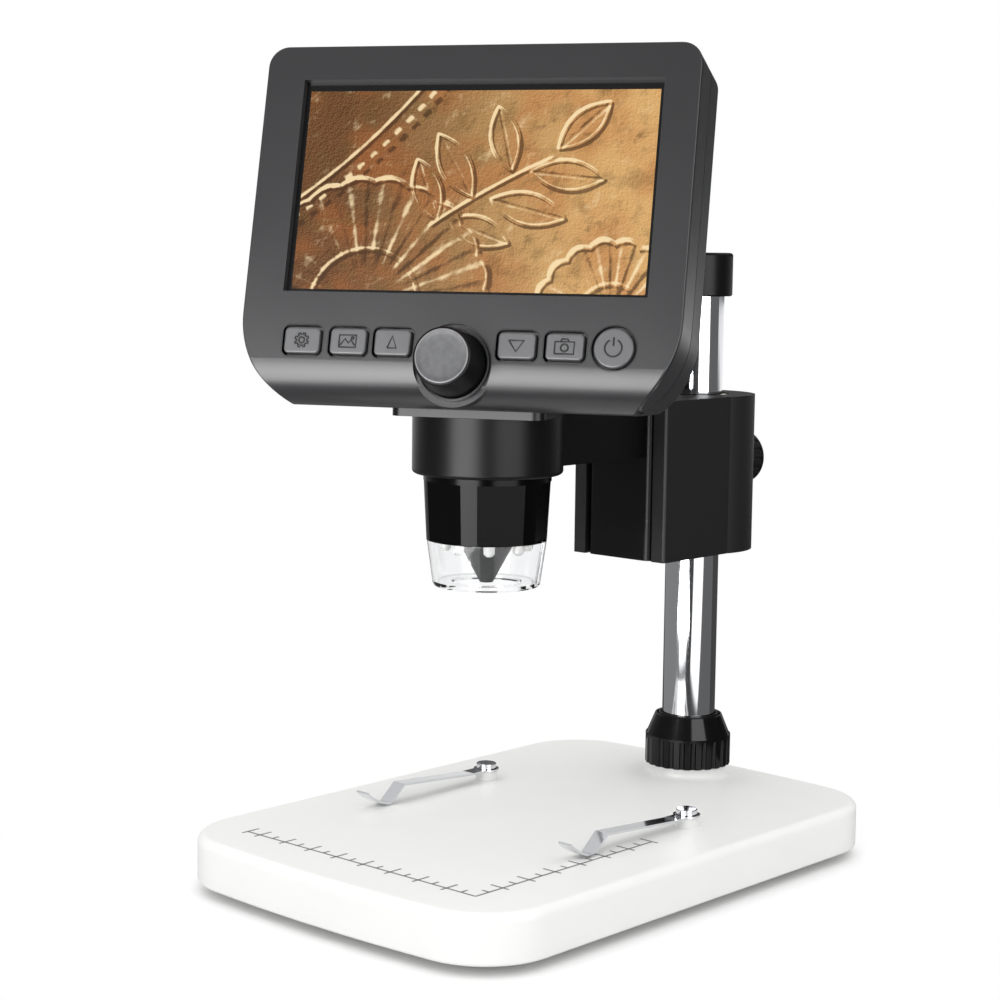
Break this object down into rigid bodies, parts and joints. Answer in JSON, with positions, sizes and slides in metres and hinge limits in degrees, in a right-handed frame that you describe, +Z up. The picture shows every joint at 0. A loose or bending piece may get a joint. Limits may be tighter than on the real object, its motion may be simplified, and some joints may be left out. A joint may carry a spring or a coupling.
{
  "type": "digital microscope",
  "caption": "Stand microscope with a built-in screen: camera head on a column slider over a white stage with two spring clips and a focus knob under the screen.",
  "frame": {"origin": "middle of the object's outline on the plane that its feet stand on", "axes": "+Z up; +Y from the user's side towards the column; +X to the user's right"},
  "size_m": [0.1259, 0.1816, 0.2276],
  "materials": {
    "white_abs": "satin white moulded plastic",
    "rubber": "black rubber",
    "steel": "zinc plated steel",
    "chrome": "polished chrome plate",
    "nylon": "natural nylon",
    "black_satin": "satin black plastic",
    "black_matte": "matte black plastic",
    "black_gloss": "gloss black plastic",
    "knob_black": "textured black plastic",
    "charcoal_abs": "fine satin charcoal plastic",
    "screen": "lit display behind clear glass",
    "board": "green solder mask",
    "battery": "foil pouch",
    "key_grey": "dark grey key plastic",
    "silicone": "grey silicone",
    "brass": "turned brass",
    "led": "clear diode body",
    "clear_plastic": "clear moulded plastic",
    "lens_glass": "coated glass"
  },
  "bodies": {
    "base": {"base_top_shell": "white_abs", "base_bottom_cover": "white_abs", "rubber_feet": "rubber", "base_screws": "steel", "column_tube": "chrome", "column_plug": "nylon", "column_anchor_screw": "steel", "column_cap": "black_satin", "column_collet": "black_matte", "clip_screw_left": "chrome", "clip_screw_right": "chrome"},
    "collar_nut": {"collar_nut": "black_gloss"},
    "stage_clip_left": {"stage_clip_left": "chrome"},
    "stage_clip_right": {"stage_clip_right": "chrome"},
    "column_liner": {"column_liner": "nylon"},
    "slider": {"slider_block": "black_matte", "holder_arm": "black_satin"},
    "clamp_pad": {"clamp_pad": "nylon"},
    "clamp_knob": {"clamp_knob": "knob_black"},
    "head": {"front_shell": "charcoal_abs", "rear_shell": "charcoal_abs", "head_screws": "steel", "lcd_panel": "screen", "main_board": "board", "battery": "battery", "data_port": "steel", "card_slot": "steel", "key_mat": "silicone", "key_board": "board", "shaft_bushing": "brass", "barrel_housing": "black_satin", "flange_screws": "steel", "grip_ring": "black_gloss", "led_board": "board", "leds": "led", "clear_cap": "clear_plastic", "camera_bracket": "steel", "sensor_board": "board", "image_sensor": "black_gloss"},
    "focus": {"focus_knob": "knob_black", "focus_pinion": "brass"},
    "lens": {"lens_carriage": "black_matte", "lens_nose": "black_gloss", "front_lens": "lens_glass"},
    "dimmer_wheel": {"dimmer_wheel": "knob_black"},
    "menu_button": {"menu_button": "key_grey"},
    "gallery_button": {"gallery_button": "key_grey"},
    "up_button": {"up_button": "key_grey"},
    "down_button": {"down_button": "key_grey"},
    "camera_button": {"camera_button": "key_grey"},
    "power_button": {"power_button": "key_grey"}
  },
  "joints": [
    {"name": "collar_nut_turn", "type": "hinge", "parent": "base", "child": "collar_nut", "pos_m": [-0.0029, 0.06555, 0.028], "axis": [0, 0, 1], "range_deg": [0, 360]},
    {"name": "clip_left_swing", "type": "hinge", "parent": "base", "child": "stage_clip_left", "pos_m": [-0.0408, 0.01585, 0.019], "axis": [0, 0, 1], "range_deg": [-120, 40]},
    {"name": "clip_right_swing", "type": "hinge", "parent": "base", "child": "stage_clip_right", "pos_m": [0.035, 0.01585, 0.019], "axis": [0, 0, 1], "range_deg": [-40, 120]},
    {"name": "slider_height", "type": "slide", "parent": "base", "child": "column_liner", "axis": [0, 0, 1], "range_m": [-0.046, 0.028]},
    {"name": "slider_swing", "type": "hinge", "parent": "column_liner", "child": "slider", "pos_m": [-0.0029, 0.06555, 0.109], "axis": [0, 0, 1], "continuous": true},
    {"name": "clamp_pad_slide", "type": "slide", "parent": "slider", "child": "clamp_pad", "axis": [0, 1, 0], "range_m": [0, 0.0007]},
    {"name": "clamp_turn", "type": "hinge", "parent": "clamp_pad", "child": "clamp_knob", "pos_m": [-0.0029, 0.08555, 0.1117], "axis": [0, 1, 0], "range_deg": [0, 315.1]},
    {"name": "head_turn", "type": "hinge", "parent": "slider", "child": "head", "pos_m": [-0.0029, -0.02635, 0.122], "axis": [0, 0, 1], "continuous": true},
    {"name": "focus_turn", "type": "hinge", "parent": "head", "child": "focus", "pos_m": [0.01046, -0.05387, 0.14516], "axis": [0.4211, -0.8673, 0.2656], "range_deg": [-36.9, 129]},
    {"name": "lens_travel", "type": "slide", "parent": "head", "child": "lens", "axis": [0, 0, 1], "range_m": [-0.002, 0.007]},
    {"name": "dimmer_turn", "type": "hinge", "parent": "head", "child": "dimmer_wheel", "pos_m": [-0.04804, -0.05622, 0.20955], "axis": [0.4211, -0.8673, 0.2656], "range_deg": [-140, 140]},
    {"name": "menu_button_press", "type": "slide", "parent": "head", "child": "menu_button", "axis": [-0.4211, 0.8673, -0.2656], "range_m": [0, 0.0006], "stiffness_N_per_m": 900},
    {"name": "gallery_button_press", "type": "slide", "parent": "head", "child": "gallery_button", "axis": [-0.4211, 0.8673, -0.2656], "range_m": [0, 0.0006], "stiffness_N_per_m": 900},
    {"name": "up_button_press", "type": "slide", "parent": "head", "child": "up_button", "axis": [-0.4211, 0.8673, -0.2656], "range_m": [0, 0.0006], "stiffness_N_per_m": 900},
    {"name": "down_button_press", "type": "slide", "parent": "head", "child": "down_button", "axis": [-0.4211, 0.8673, -0.2656], "range_m": [0, 0.0006], "stiffness_N_per_m": 900},
    {"name": "camera_button_press", "type": "slide", "parent": "head", "child": "camera_button", "axis": [-0.4211, 0.8673, -0.2656], "range_m": [0, 0.0006], "stiffness_N_per_m": 900},
    {"name": "power_button_press", "type": "slide", "parent": "head", "child": "power_button", "axis": [-0.4211, 0.8673, -0.2656], "range_m": [0, 0.0006], "stiffness_N_per_m": 900}
  ],
  "couplings": [
    {"joint": "focus_turn", "follows": "lens_travel", "rad_per_m": 321.37},
    {"joint": "clamp_turn", "follows": "clamp_pad_slide", "rad_per_m": 7854}
  ]
}
